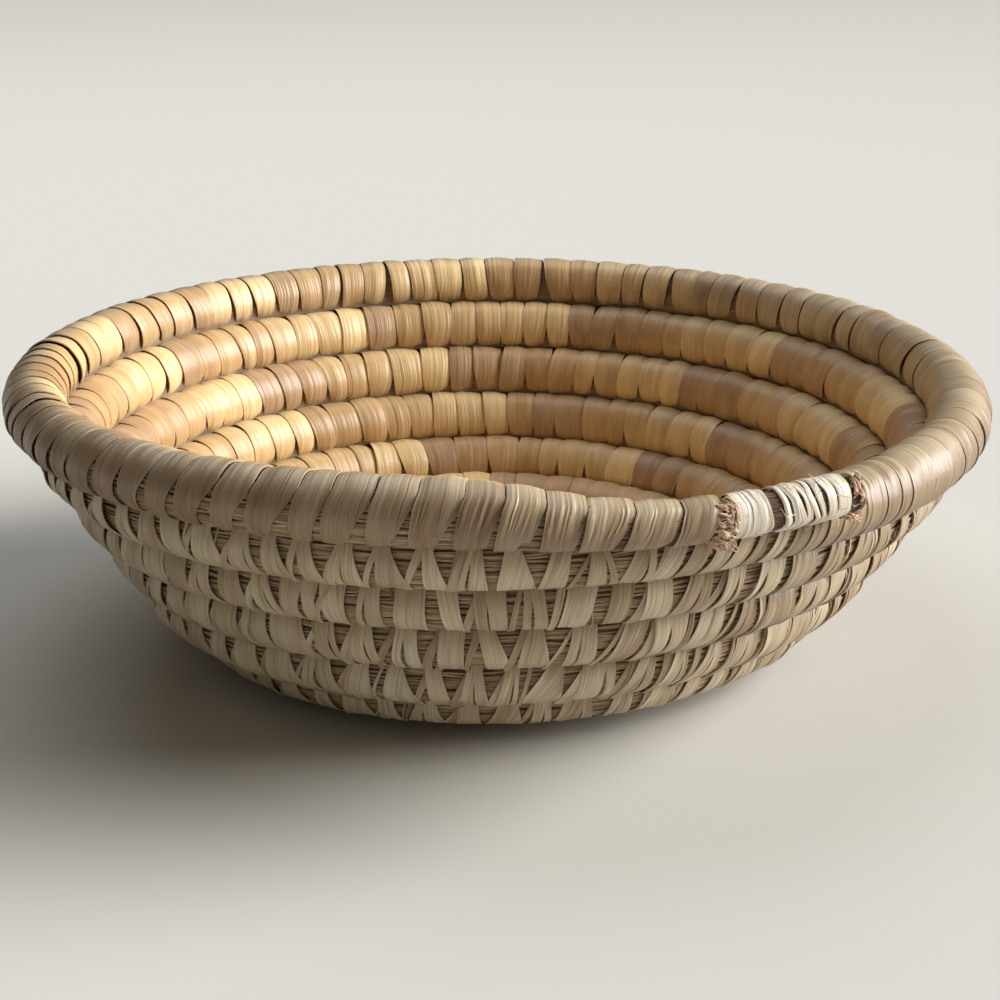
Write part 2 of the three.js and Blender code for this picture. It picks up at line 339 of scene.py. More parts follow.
def inward_at(turn):
    straight = np.minimum(turn, STRAIGHT_TURNS) * math.cos(WALL_ANGLE)
    bent = (math.sin(WALL_ANGLE) - np.sin(slope_at(turn))) * (BEND_TURNS / WALL_ANGLE)
    return ROW_PITCH * (straight + bent) + BASE_PITCH * np.maximum(turn - FLAT_TURN, 0)


def down_at(turn):
    straight = np.minimum(turn, STRAIGHT_TURNS) * math.sin(WALL_ANGLE)
    bent = (np.cos(slope_at(turn)) - math.cos(WALL_ANGLE)) * (BEND_TURNS / WALL_ANGLE)
    return ROW_PITCH * (straight + bent)


START_FULLNESS = 2 * START_RADIUS  # size of the wrapped start, pressed against the knot
INNER_TURN = FLAT_TURN + (RIM_RADIUS - float(inward_at(FLAT_TURN)) - INNER_ROW_RADIUS) / BASE_PITCH
LAST_TURN = INNER_TURN + 1
WALL_HEIGHT = float(down_at(FLAT_TURN))


def plain_row(turn):
    radius = RIM_RADIUS - inward_at(turn)
    height = WRAP_RADIUS * FLAT_SHARE + WALL_HEIGHT - down_at(turn)
    return radius, height


def row_at(turn):
    """Radius from the axis, height and size of the coil at a turn."""
    turn = np.asarray(turn, dtype=float)
    radius, height = plain_row(turn)
    size = np.full_like(turn, WRAP_RADIUS)

    below_radius, below_height = plain_row(turn + 1)
    growth = smooth_step(turn, THIN_TURNS, FULL_TURN)
    tail_size = mix(TAIL_RADIUS, WRAP_RADIUS, growth)
    angle = mix(TAIL_ANGLE, WALL_ANGLE, growth)
    distance = ROW_PITCH - WRAP_RADIUS + tail_size
    in_tail = turn < FULL_TURN
    radius = np.where(in_tail, below_radius + distance * np.cos(angle), radius)
    height = np.where(in_tail, below_height + distance * np.sin(angle), height)
    size = np.where(in_tail, tail_size, size)

    share = np.clip(turn - INNER_TURN, 0, 1)
    start_size = mix(WRAP_RADIUS, START_FULLNESS, share)
    in_start = turn > INNER_TURN
    radius = np.where(in_start, mix(INNER_ROW_RADIUS, START_ROW_RADIUS, share), radius)
    height = np.where(in_start, start_size * FLAT_SHARE, height)
    size = np.where(in_start, start_size, size)
    return radius, height, size


def azimuth_at(turn):
    return END_AZIMUTH - 2 * math.pi * turn


def place(turn, out, up, floor):
    """Points beside the coil: so far out of the wall's face and so far up along the wall."""
    radius, height, _ = row_at(turn)
    slope = slope_at(turn)
    reach = radius + out * np.sin(slope) + up * np.cos(slope)
    rise = height - out * np.cos(slope) + up * np.sin(slope)
    azimuth = azimuth_at(turn)
    shift = LEAN_PER_TURN * np.maximum(FLAT_TURN - turn, 0)
    return np.stack([
        reach * np.cos(azimuth) + shift,
        reach * np.sin(azimuth),
        np.maximum(rise, floor),
    ], axis=-1)


def turns_per_mm(turn):
    return 1 / (2 * math.pi * float(row_at(turn)[0]))


# Meshes

class Sheaf:
    """Strips and fibres gathered for one piece."""

    def __init__(self):
        self.points = []
        self.faces = []
        self.maps = []
        self.marks = []
        self.count = 0

    def add(self, points, faces, maps, marks):
        self.points.append(points)
        self.faces.append(faces + self.count)
        self.maps.append(maps)
        self.marks.append(marks)
        self.count += len(points)


def grid_faces(rows, columns):
    corner = (np.arange(rows - 1)[:, None] * columns + np.arange(columns - 1)).ravel()
    return np.stack([corner, corner + 1, corner + 1 + columns, corner + columns], axis=1)


def slab_faces(rows, columns):
    """Faces of a thin slab whose front grid of points comes first and its back grid second."""
    front = grid_faces(rows, columns)
    back = front[:, ::-1] + rows * columns
    last = (rows - 1) * columns
    rim = np.concatenate([
        np.arange(columns),
        np.arange(2, rows + 1) * columns - 1,
        last + np.arange(columns - 2, -1, -1),
        np.arange(rows - 2, -1, -1) * columns,
    ])
    here, there = rim[:-1], rim[1:]
    side = np.stack([there, here, here + rows * columns, there + rows * columns], axis=1)
    return np.concatenate([front, back, side])


def tube_faces(rings, sides):
    ring = np.arange(rings - 1)[:, None] * sides
    side = np.arange(sides)
    here = (ring + side).ravel()
    beside = (ring + (side + 1) % sides).ravel()
    return np.stack([here, beside, beside + sides, here + sides], axis=1)


def smooth_line(controls, count):
    """Evenly counted points of a smooth curve through the control rows."""
    padded = np.vstack([2 * controls[0] - controls[1], controls, 2 * controls[-1] - controls[-2]])
    position = np.linspace(0, len(controls) - 1, count)
    first = np.minimum(position.astype(int), len(controls) - 2)
    share = (position - first)[:, None]
    p0, p1, p2, p3 = (padded[first + k] for k in range(4))
    curve = 2 * p1 + (p2 - p0) * share
    curve = curve + (2 * p0 - 5 * p1 + 4 * p2 - p3) * share**2
    return 0.5 * (curve + (3 * p1 - p0 - 3 * p2 + p3) * share**3)


def point_rows(*parts):
    """The parts side by side, one row for each point of their grid."""
    return np.stack(np.broadcast_arrays(*parts), axis=-1).reshape(-1, len(parts))


def add_strip(sheaf, turn, line, left, right, lift, tones, bleach_and_shade, hem=0.0):
    """A strip of leaf bent over the coil.

    The line gives out and up as shares of the coil's size, left and right are its edges along the
    coil in millimetres, lift raises each point of the grid off the line, tones are those of its inner
    side and, along the line, of its outer side, which also carries painted light and shade by place;
    the share of the outer colour along the line is 1 where the leaf is weathered and painted in the
    duller colour of shade; and hem is the share of the line that is cut off at its start.
    """
    rows, columns = lift.shape
    across = edge_to_edge(columns)
    share = even_shares(rows)
    near_hem = np.clip(1 - share / HEM_REACH, 0, 1)[:, None]
    picked = np.broadcast_to(share[:, None] + hem * near_hem, lift.shape)
    first, last = (np.interp(picked, share, edge) for edge in (left, right))
    along = mix(first, last, (1 + across) / 2)
    turns = turn - along * turns_per_mm(turn)
    size = row_at(turns)[2]
    bent = np.stack([np.interp(picked, share, line[:, k]) for k in (0, 1)], axis=-1)
    tangent = np.gradient(bent, axis=0)
    tangent /= np.linalg.norm(tangent, axis=-1, keepdims=True)
    sides = []
    for depth in (0.0, STRIP_THICKNESS):
        out = size * bent[..., 0] + tangent[..., 1] * (lift - depth)
        up = size * bent[..., 1] - tangent[..., 0] * (lift - depth)
        sides.append(place(turns, out, up, FLOOR_GAP + depth).reshape(-1, 3))
    steps = np.linalg.norm(np.diff(line, axis=0), axis=1) * size.mean()
    length = np.concatenate([[0], np.cumsum(steps)])
    grain = point_rows(along - first, length[:, None]) + rng.uniform(0, GRAIN_SHIFT, 2)
    edge = np.abs(across) * rng.uniform(0.9, 1.0)
    marks = point_rows(tones[0], bleach_and_shade[:, None], edge, np.reshape(tones[1], (-1, 1)))
    sheaf.add(
        np.concatenate(sides),
        slab_faces(rows, columns),
        np.concatenate([grain, grain]),
        np.concatenate([marks, marks]),
    )


def close_tube(rings):
    """The rings of a tube with one more at each end, drawn together to a point."""
    near, far = (np.broadcast_to(rings[k].mean(axis=0), (1, *rings.shape[1:])) for k in (0, -1))
    return np.concatenate([near, rings, far])


def fibre_marks(tones, sides):
    """Marks of a tube's points, from the tone of each ring."""
    marks = np.tile((0.0, 0.5, 0.0, 1.0), (len(tones) * sides, 1))
    marks[:, 0] = np.repeat(tones, sides)
    return marks


def add_tube(sheaf, points, radii, sides, tone):
    """A thin round fibre through the points."""
    tangent = np.gradient(points, axis=0)
    tangent /= np.linalg.norm(tangent, axis=1, keepdims=True)
    first = np.cross(tangent, ASIDE)
    first /= np.linalg.norm(first, axis=1, keepdims=True)
    second = np.cross(tangent, first)
    angle = np.arange(sides) * (2 * math.pi / sides)
    ring = first[:, None] * np.cos(angle)[:, None] + second[:, None] * np.sin(angle)[:, None]
    corners = close_tube(points[:, None] + ring * radii[:, None, None])
    length = np.cumsum(np.linalg.norm(np.diff(points, axis=0), axis=1))
    length = np.concatenate([[0, 0], length, length[-1:]])
    grain = point_rows(angle * radii.mean(), length[:, None]) + rng.uniform(0, GRAIN_SHIFT, 2)
    tones = np.pad(np.broadcast_to(tone, len(points)), 1, mode="edge")
    sheaf.add(corners.reshape(-1, 3), tube_faces(len(corners), sides), grain, fibre_marks(tones, sides))


def show(thing):
    bpy.context.scene.collection.objects.link(thing)


def make_piece(name, sheaf, material, slot, *nodes):
    """A mesh of the gathered strips, standing for the CAD nodes."""
    points = np.concatenate(sheaf.points) * MM
    faces = np.concatenate(sheaf.faces)
    mesh = bpy.data.meshes.new(name)
    mesh.from_pydata(points.tolist(), [], faces.tolist())
    corners = np.empty(len(mesh.loops), dtype=np.int32)
    mesh.loops.foreach_get("vertex_index", corners)
    grain = mesh.uv_layers.new(name="grain")
    grain.data.foreach_set("uv", np.concatenate(sheaf.maps)[corners].astype(np.float32).ravel())
    marks = mesh.color_attributes.new(name="leaf", type="FLOAT_COLOR", domain="POINT")
    marks.data.foreach_set("color", np.concatenate(sheaf.marks).astype(np.float32).ravel())
    mesh.shade_smooth()
    mesh.set_sharp_from_angle(angle=SHARP_ANGLE)
    mesh.materials.append(material)
    piece = bpy.data.objects.new(name, mesh)
    show(piece)
    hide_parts(*nodes)
    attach(piece, "root")


# Materials

def colour(red, green, blue):
    """A node colour from its display values of 0 to 255."""
    shares = np.array((red, green, blue)) / 255
    linear = np.where(shares <= 0.04045, shares / 12.92, ((shares + 0.055) / 1.055) ** 2.4)
    return (*linear.tolist(), 1.0)


BLACK = colour(0, 0, 0)
WHITE = colour(255, 255, 255)


def new_material(name, roughness):
    material = bpy.data.materials.new(name)
    material.use_nodes = True
    tree = material.node_tree
    shader = tree.nodes["Principled BSDF"]
    shader.inputs["Roughness"].default_value = roughness
    return material, tree, shader


def add_ramp(tree, value, stops):
    ramp = tree.nodes.new("ShaderNodeValToRGB")
    elements = ramp.color_ramp.elements
    while len(elements) < len(stops):
        elements.new(0.5)
    for element, (position, shade) in zip(elements, stops):
        element.position = position
        element.color = shade
    tree.links.new(value, ramp.inputs["Fac"])
    return ramp.outputs["Color"]


def add_mix(tree, kind, share, first, second):
    """Mixes two colours; the share is a socket or a number."""
    node = tree.nodes.new("ShaderNodeMix")
    node.data_type = "RGBA"
    node.blend_type = kind
    if isinstance(share, float):
        node.inputs["Factor"].default_value = share
    else:
        tree.links.new(share, node.inputs["Factor"])
    tree.links.new(first, node.inputs["A"])
    tree.links.new(second, node.inputs["B"])
    return node.outputs["Result"]


def add_shading(tree, base, share, value, stops):
    """A colour darkened by the shades of a ramp."""
    return add_mix(tree, "MULTIPLY", share, base, add_ramp(tree, value, stops))


def add_grain(tree, across, along, detail):
    """Noise drawn out along the fibres, so many waves to the millimetre across and along."""
    grain = tree.nodes.new("ShaderNodeUVMap")
    grain.uv_map = "grain"
    mapping = tree.nodes.new("ShaderNodeMapping")
    mapping.inputs["Scale"].default_value = (across, along, 1.0)
    noise = tree.nodes.new("ShaderNodeTexNoise")
    noise.inputs["Scale"].default_value = 1.0
    noise.inputs["Detail"].default_value = detail
    tree.links.new(grain.outputs["UV"], mapping.inputs["Vector"])
    tree.links.new(mapping.outputs["Vector"], noise.inputs["Vector"])
    return noise.outputs["Fac"]


def add_folds(tree, across, along, detail):
    """Sharp lengthwise creases: 1 on the crease, falling off to both sides."""
    return add_ramp(tree, add_grain(tree, across, along, detail), [
        (0.455, BLACK), (0.495, WHITE), (0.505, WHITE), (0.545, BLACK),
    ])


def add_bump(tree, height, strength, distance, before=None):
    bump = tree.nodes.new("ShaderNodeBump")
    bump.inputs["Strength"].default_value = strength
    bump.inputs["Distance"].default_value = distance
    tree.links.new(height, bump.inputs["Height"])
    if before is not None:
        tree.links.new(before, bump.inputs["Normal"])
    return bump.outputs["Normal"]


def add_marks(tree):
    """Tone inside, share of the weathered and shaded outer colour, edge, and tone outside with its painted
    light and shade, as they were set on the points.
    """
    attribute = tree.nodes.new("ShaderNodeVertexColor")
    attribute.layer_name = "leaf"
    parts = tree.nodes.new("ShaderNodeSeparateColor")
    tree.links.new(attribute.outputs["Color"], parts.inputs["Color"])
    return parts.outputs["Red"], parts.outputs["Green"], parts.outputs["Blue"], attribute.outputs["Alpha"]


def leaf_material(name, inside, outside, roughness):
    """Dry palm leaf, with one range of colours inside the bowl and a duller one outside: partly
    weathering, partly painted light, golden where lit inside and shaded outside.
    """
    material, tree, shader = new_material(name, roughness)
    tone, bleach_and_shade, edge, outer_tone_and_light = add_marks(tree)
    inner = add_ramp(tree, tone, inside)
    outer = add_ramp(tree, outer_tone_and_light, outside)
    # The outer colour takes over where the leaf is weathered and in painted shade; the inner one is partly
    # painted warm light
    base = add_mix(tree, "MIX", bleach_and_shade, inner, outer)
    streaks = add_grain(tree, *LEAF_STREAKS)
    base = add_shading(tree, base, 0.75, streaks, [
        (0.30, colour(216, 208, 196)), (0.50, colour(244, 242, 239)), (0.72, WHITE),
    ])
    # Painted shade: outside, thin darker lines along the creases
    creases = add_folds(tree, *LEAF_CREASES)
    base = add_shading(tree, base, bleach_and_shade, creases, [
        (0.40, WHITE), (1.0, colour(232, 223, 208)),
    ])
    patches = add_grain(tree, *LEAF_PATCHES)
    base = add_shading(tree, base, 0.7, patches, [
        (0.32, colour(222, 211, 197)), (0.62, WHITE),
    ])
    # Painted highlight: outside, the strips' edges are mixed towards a pale colour, as if they caught the
    # light
    near_edge = add_ramp(tree, edge, [
        (0.0, BLACK), (0.90, BLACK), (1.0, colour(165, 165, 165)),
    ])
    edge_highlight_share = add_mix(tree, "MULTIPLY", 1.0, near_edge, bleach_and_shade)
    pale = add_ramp(tree, tone, [(0.0, colour(232, 216, 188)), (1.0, colour(240, 226, 200))])
    base = add_mix(tree, "MIX", edge_highlight_share, base, pale)
    tree.links.new(base, shader.inputs["Base Color"])
    folds = add_grain(tree, *LEAF_FOLDS)
    fold = add_bump(tree, folds, *LEAF_FOLD_BUMP)
    fibre = add_bump(tree, streaks, *LEAF_STREAK_BUMP, fold)
    tree.links.new(fibre, shader.inputs["Normal"])
    return material


def fibre_material(name, shades, roughness):
    """Stems and loose fibres, each in a shade of its own."""
    material, tree, shader = new_material(name, roughness)
    tone, _, _, _ = add_marks(tree)
    base = add_ramp(tree, tone, shades)
    streaks = add_grain(tree, *FIBRE_STREAKS)
    base = add_shading(tree, base, 0.9, streaks, [
        (0.30, colour(170, 156, 138)), (0.65, WHITE),
    ])
    tree.links.new(base, shader.inputs["Base Color"])
    tree.links.new(add_bump(tree, streaks, *FIBRE_BUMP), shader.inputs["Normal"])
    return material


def floor_material():
    material, _, shader = new_material("pale_floor", 0.9)
    shader.inputs["Base Color"].default_value = colour(204, 201, 193)
    return material


# The leaf wrapping

def leaf_tone(turn):
    """From 0 where a leaf starts to 1 at its pale end."""
    row = min(int(turn), len(LEAF_STARTS) - 1)
    passed = (turn - LEAF_STARTS[row]) / turns_per_mm(turn)
    return (passed / LEAF_LENGTH) % 1.0


def strip_step(turn):
    return DENSE_STEP if DENSE_FROM < turn < DENSE_TO else WRAP_STEP


def wrap_places(first, last):
    """Turns of the strips' middles, with the step of each."""
    places = []
    turn = first
    while True:
        step = strip_step(turn) * vary(*STEP_CHANGE)
        middle = turn + step / 2 * turns_per_mm(turn)
        if middle > last:
            return places
        places.append((middle, step))
        turn = middle + step / 2 * turns_per_mm(middle)


def wander(count, height):
    """Heights of folds that climb and fall from one to the next."""
    heights = np.cumsum(rng.choice((-1, 1), count) * rng.uniform(0.4, 1.6, count))
    return (heights - heights.mean()) * height


def zigzag(count, height):
    """Heights of pleats, up and down by turns."""
    return np.resize((-1, 1), count) * rng.uniform(0.3, 1.0, count) * height


def crumple(rows, columns, heights):
    """Sharp lengthwise folds of the given heights that wander a little along a strip."""
    across = edge_to_edge(columns)
    share = edge_to_edge(rows)
    places = np.sort(rng.uniform(-1, 1, len(heights)))
    drift = rng.normal(0, 0.12, len(heights))
    folds = [np.interp(across, np.sort(places + drift * away), heights) for away in share]
    return np.array(folds)


def nearness(turn, azimuth, width):
    """1 where the coil passes an azimuth, and less to both sides of it."""
    away = (math.degrees(azimuth_at(turn)) - azimuth + 180) % 360 - 180
    return math.exp(-(away / width) ** 2)


def wall_row(turn):
    return min(int(turn), len(HEM_DROPS) - 1)


def face_place(line, top, reach):
    """From 1 at the top of the outer face to -1 at its foot, even as seen from a little above the rim."""
    fall = np.where(line[:, 0] > 0, top + FACE_OUT * line[:, 0] - FACE_UP * line[:, 1], 0)
    lowest = np.maximum.accumulate(fall[::-1])[::-1]
    return 1 - 2 * np.clip(lowest / reach, 0, 1)


class Spot:
    """A place along the coil, and what sets the strip there apart."""

    def __init__(self, turn, step):
        self.turn = turn
        self.step = step
        self.row = wall_row(turn)
        self.rim = 1 - float(smooth_step(turn, *RIM_ENDS))
        self.dense = DENSE_FROM < turn < DENSE_TO
        self.lively = nearness(turn, *RIGHT_FRONT)
        self.front = nearness(turn, *FRONT)
        self.side = math.cos(azimuth_at(turn))
        self.at_left = float(smooth_step(-self.side, *LEFT_SIDE))
        self.at_right = float(smooth_step(self.side, *RIGHT_SIDE))


class Form:
    """The line of a strip with the hem of its row, and how far outside and how low its points are."""

    def __init__(self, spot):
        controls = mix(WALL_LINE, RIM_LINE, spot.rim)
        depth = HEM_DROPS[spot.row] * rng.normal(1.0, mix(0.02, 0.04, spot.rim)) / HEM_DROP
        controls[:HEM_ROWS, 1] *= depth
        shape = smooth_line(controls, STRIP_ROWS)
        self.line = shape[:, :2]
        self.out = shape[:, 0]
        self.up = shape[:, 1]
        self.width = shape[:, 2]
        self.outside = smooth_step(self.out, -0.1, 0.5)
        self.face = face_place(self.line, *mix(WALL_FACE, RIM_FACE, spot.rim))
        self.low = (1 - self.face) / 2


def strip_halves(spot, form):
    """Half the width of a strip along its line."""
    wide = ROW_WIDTHS[spot.row] * vary(*WIDTH_CHANGE)
    wide *= 1 + 0.1 * spot.lively + 0.22 * spot.at_left
    taper = vary(ROW_TAPERS[spot.row], *TAPER_CHANGE)
    if spot.dense:
        wide *= DENSE_WIDTH
        taper *= 0.3
        rim_width = DENSE_RIM_WIDTH
    else:
        rim_width = vary(*RIM_WIDTH)
    wall_width = wide * (1 - taper * form.face)
    half = form.width * spot.step * mix(1.0, wall_width, form.outside * (1 - spot.rim))
    inner_gap = TOP_GAP * (1 - form.outside) + INNER_GAP * smooth_step(-form.out, 0.0, 0.8)
    left_gap = LEFT_GAP * spot.at_left * smooth_step(form.low, 0.1, 0.5)
    side_gap = form.outside * (left_gap - RIGHT_CLOSING * spot.at_right)
    half = half * mix(1.0, rim_width - spot.at_right * inner_gap - side_gap, spot.rim)
    foot = smooth_step(-form.up, 0.1, 1.0) * (1 - form.outside)
    return half * (1 - rng.uniform(-0.15, 0.15) * foot)


def strip_lean(spot, form):
    """How far along the coil a strip's middle is moved, along its line."""
    if spot.dense:
        wall_lean = DENSE_LEAN
        variation = 0.08
    else:
        wall_lean = 0.2 + SIDE_LEAN * spot.side + spot.lively
        variation = mix(0.5, 0.12, spot.rim)
    rim_lean = 1.0 + 0.4 * spot.front
    outer = rng.normal(mix(wall_lean, rim_lean, spot.rim), variation) * (form.face - spot.rim)
    inner = rng.normal(0, 0.5) * (form.up - spot.rim)
    return mix(inner, outer, form.outside)


def strip_edges(spot, form):
    """Left and right edge of a strip along its line, with the cuts of the rim's strips."""
    half = strip_halves(spot, form)
    lean = strip_lean(spot, form)
    opened = np.clip((form.low - CUT_FROM) / (1 - CUT_FROM), 0, 1)
    cut_right = rng.uniform(0.2, 1.1) * mix(SIDE_CUT, 1.0, spot.front) * spot.rim * opened
    cut_left = rng.uniform(-0.10, 0.10) * spot.rim * form.low
    left = lean - half * (1 - cut_left)
    return left, np.maximum(lean + half * (1 - cut_right), left + LEAST_WIDTH)


def strip_tones(spot, form):
    """Tone of a strip's inner side and, along its line, of its outer side, which also carries painted
    light and shade by place.
    """
    tone = np.clip(leaf_tone(spot.turn) + rng.normal(0, 0.10), 0, 1)
    # Outside, the tones carry painted light and shade by row and by side, besides their own random tone
    wall_tone_and_light = rng.uniform(*WALL_TONES) + ROW_PAINTED_LIGHT[spot.row]
    wall_tone_and_light += FRONT_PAINTED_LIGHT * spot.front + RIGHT_PAINTED_SHADE * spot.at_right
    top = 1 - smooth_step(form.out, -0.1, 0.6)
    rim_tone_and_light = rng.uniform(*RIM_TONES_AND_SHADE) + TOP_PAINTED_LIGHT * top + LEFT_PAINTED_SHADE * spot.at_left
    return tone, np.clip(mix(wall_tone_and_light, rim_tone_and_light, spot.rim), 0, 1)


def strip_bleach(spot, form):
    """1 outside, where a strip is weathered and painted in the duller colour of shade, and 0 inside."""
    # At the rim's right the duller outer colour reaches further over the top, partly as painted cool light
    out = form.out + 0.3 * spot.at_right * spot.rim
    return smooth_step(out, mix(*BLEACH_AND_SHADE_FROM, spot.rim), mix(*BLEACH_AND_SHADE_TO, spot.rim))


def strip_folds(turn):
    """Heights of a strip's folds, which are close pleats at the rim's start."""
    if turn < PLEATED_TO:
        return crumple(STRIP_ROWS, PLEAT_COLUMNS, zigzag(PLEATS, PLEAT_HEIGHT))
    return crumple(STRIP_ROWS, STRIP_COLUMNS, wander(rng.integers(*FOLD_COUNTS), FOLD_HEIGHT))


def strip_lift(spot, form, folds):
    """How far each point of a strip with the given folds stands off its line."""
    outside = form.outside
    across = edge_to_edge(folds.shape[1])
    inner, rim_inner, outer = pick(CROWNS)
    crown = mix(mix(inner, rim_inner, spot.rim), outer, outside)[:, None] * (1 - across**2)
    curl = outside[:, None] * rng.uniform(0.05, 0.25) * mix(1.0, RIM_CURL, spot.rim) * across**4
    rim_tilt = mix(RIM_TILT, RIGHT_RIM_TILT, spot.at_right)
    rim_tilt += (LEFT_RIM_TILT - RIM_TILT) * spot.at_left
    outer_tilt = mix(rng.normal(0.0, 0.12), rng.normal(rim_tilt, 0.10), spot.rim)
    tilt = mix(rng.normal(0.16, 0.12), outer_tilt, outside)[:, None] * across
    raised = crown + curl + tilt + folds * mix(INNER_FOLDS, 1.0, outside)[:, None]
    raised = raised + rng.uniform(0.0, mix(0.3, 0.12, spot.rim))
    return raised * (1 - HEM_PRESSED * smooth_step(form.low, 0.65, 1.0))[:, None]


def strip_hem(spot, columns):
    """Share of the line that is cut off at the hem, for each column of a strip."""
    towards = edge_to_edge(columns)
    if spot.at_left > 0.5:
        towards = -towards
    rim_slant, wall_slant, least, start = pick(HEM_CUTS)
    return least + mix(wall_slant, rim_slant, spot.rim) * np.clip(towards + start, 0, 1)


def strip_cuts(spot, columns):
    """First and last column of a strip and, if it is torn in two, the column of the tear between them."""
    share = mix(SPLIT_SHARE + 0.4 * spot.lively, 0.1, spot.rim)
    if not spot.dense and rng.random() < share:
        return [0, rng.integers(SPLIT_COLUMNS, columns - SPLIT_COLUMNS), columns - 1]
    return [0, columns - 1]


def add_wrap(sheaf, turn, step):
    """One leaf strip round the coil, whole or torn in two."""
    spot = Spot(turn, step)
    form = Form(spot)
    left, right = strip_edges(spot, form)
    tones = strip_tones(spot, form)
    bleach_and_shade = strip_bleach(spot, form)
    folds = strip_folds(turn)
    lift = strip_lift(spot, form, folds)
    columns = folds.shape[1]
    hem = strip_hem(spot, columns)
    cuts = strip_cuts(spot, columns)
    slit = rng.uniform(0.04, 0.10) * smooth_step(form.low, 0.15, 0.7) * form.outside - SLIT_OVERLAP
    for near, far in zip(cuts, cuts[1:]):
        first = mix(left, right, near / (columns - 1) + slit * (near > 0))
        last = mix(left, right, far / (columns - 1) - slit * (far < columns - 1))
        part = slice(near, far + 1)
        add_strip(sheaf, turn, form.line, first, last, lift[:, part], tones, bleach_and_shade, hem[part])


def add_cross(sheaf, turn, foot, head, half_width, lift):
    """A thin strip outside, from its foot at one place along the coil to its head at another."""
    controls = CROSS_LINE.copy()
    controls[:HEM_ROWS - 1, 1] *= HEM_DROPS[wall_row(turn)] / HEM_DROP
    line = smooth_line(controls, STRIP_ROWS // 2)
    face = face_place(line, *WALL_FACE)
    middle = mix(foot, head, (1 + face) / 2)
    half = half_width * (1 + rng.normal(0, 0.2) * face)
    raised = lift + crumple(len(line), CROSS_COLUMNS, wander(3, 0.10))
    tone = rng.uniform(0.3, 1.0)
    add_strip(sheaf, turn, line, middle - half, middle + half, raised, (tone, tone), np.ones(len(line)))


def add_wall_extras(sheaf, turn, step):
    """Thin strips that cross the gap beside a wrap, make it a pair, or lie on it as threads."""
    row = wall_row(turn)
    lively = nearness(turn, *RIGHT_FRONT)
    if rng.random() < CROSS_SHARE[row]:
        foot, head, half, lift = pick(CROSSING)
        add_cross(sheaf, turn, foot * step, head * step + 1.2 * lively, half, lift)
    while rng.random() < LIVELY_SHARE * lively:
        foot, lean, half, lift = pick(LIVELY)
        add_cross(sheaf, turn, foot * step, foot * step + lean, half, lift)
    if rng.random() < PAIR_SHARE[row]:
        foot, head, half, lift = pick(PAIRED)
        add_cross(sheaf, turn, -foot * step, -head * step, half, lift)
    if rng.random() < THREAD_SHARE:
        foot = rng.uniform(-0.5, 0.5) * step
        head = foot + rng.normal(0, 0.35) * step
        add_cross(sheaf, turn, foot, head, rng.uniform(0.12, 0.25), 0.1)


def wrap_runs():
    """Name, first and last turn of each CAD node that holds leaf wrapping."""
    tail = END_FRAY_LENGTH + BAND_LENGTH + LASHINGS * LASHING_LENGTH + BARE_LENGTH
    first = (tail + TAIL_WRAP_LENGTH + INNER_FRAY_LENGTH) * TURNS_PER_MM_OF_TAIL
    stretches = [("rim_wrap", first, 1.0, RIM_RUNS)]
    for row, runs in enumerate(WALL_RUNS, start=1):
        stretches.append((f"wall{row + 1}_wrap", float(row), row + 1.0, runs))
    stretches.append(("base_wrap", len(WALL_RUNS) + 1.0, LAST_TURN, BASE_RUNS))
    for label, start, end, runs in stretches:
        digits = len(str(runs))
        span = (end - start) / runs
        for run in range(runs):
            yield f"{label}_{run + 1:0{digits}d}", start + span * run, start + span * (run + 1)


def make_wraps(material):
    runs = list(wrap_runs())
    rim_start = runs[0][1]
    places = wrap_places(rim_start - TUFT_COVER * TURNS_PER_MM_OF_TAIL, LAST_TURN)
    for name, start, end in runs:
        sheaf = Sheaf()
        for turn, step in places:
            if not start <= max(turn, rim_start) < end:
                continue
            add_wrap(sheaf, turn, step)
            if turn > DENSE_TO:
                add_wall_extras(sheaf, turn, step)
        make_piece(f"leaf_{name}", sheaf, material, "palm_leaf", name)


# The tail

def add_round_wrap(sheaf, length, width, height, bend, lean, tone):
    """A strip round the tail, its middle so far from the coil's end and bent to a blunt angle outside."""
    turn = length * TURNS_PER_MM_OF_TAIL
    shape = smooth_line(ROUND_LINE, STRIP_ROWS)
    line = shape[:, :2]
    share = even_shares(STRIP_ROWS)
    kinks = even_shares(KINKS)
    half = shape[:, 2] * width * (1 + np.interp(share, kinks, rng.uniform(-0.35, 0.10, KINKS)))
    outside = smooth_step(line[:, 0], -0.3, 0.4)
    middle = (lean * line[:, 1] + bend * (1 - np.abs(line[:, 1] - 0.1))) * outside
    middle = middle + np.interp(share, kinks, rng.normal(0, 0.10, KINKS))
    across = edge_to_edge(STRIP_COLUMNS)
    folds = crumple(STRIP_ROWS, STRIP_COLUMNS, wander(rng.integers(2, 4), height))
    lift = 0.7 * folds + 0.04 * (1 - across**2) + rng.uniform(0.0, 0.3)
    add_strip(sheaf, turn, line, middle - half, middle + half, lift, (tone, tone), np.ones(len(line)))


def tail_stretches():
    """Name, near and far end of each piece of the tail, from the coil's end back."""
    lengths = [("tail_fray_1", END_FRAY_LENGTH), ("tail_band", BAND_LENGTH)]
    lengths += [(f"tail_lashing_{k + 1}", LASHING_LENGTH) for k in range(LASHINGS)]
    lengths += [("bare", BARE_LENGTH), ("tail_wrap", TAIL_WRAP_LENGTH), ("tail_fray_2", INNER_FRAY_LENGTH)]
    near = 0.0
    for name, length in lengths:
        yield name, near, near + length
        near += length


def round_tail(length, raised, around):
    """Points so far from the coil's end, raised to a share of the tail's size and so far round it."""
    turns = length * TURNS_PER_MM_OF_TAIL
    size = row_at(turns)[2] * raised
    return place(turns, size * np.cos(around), size * np.sin(around), FLOOR_GAP)


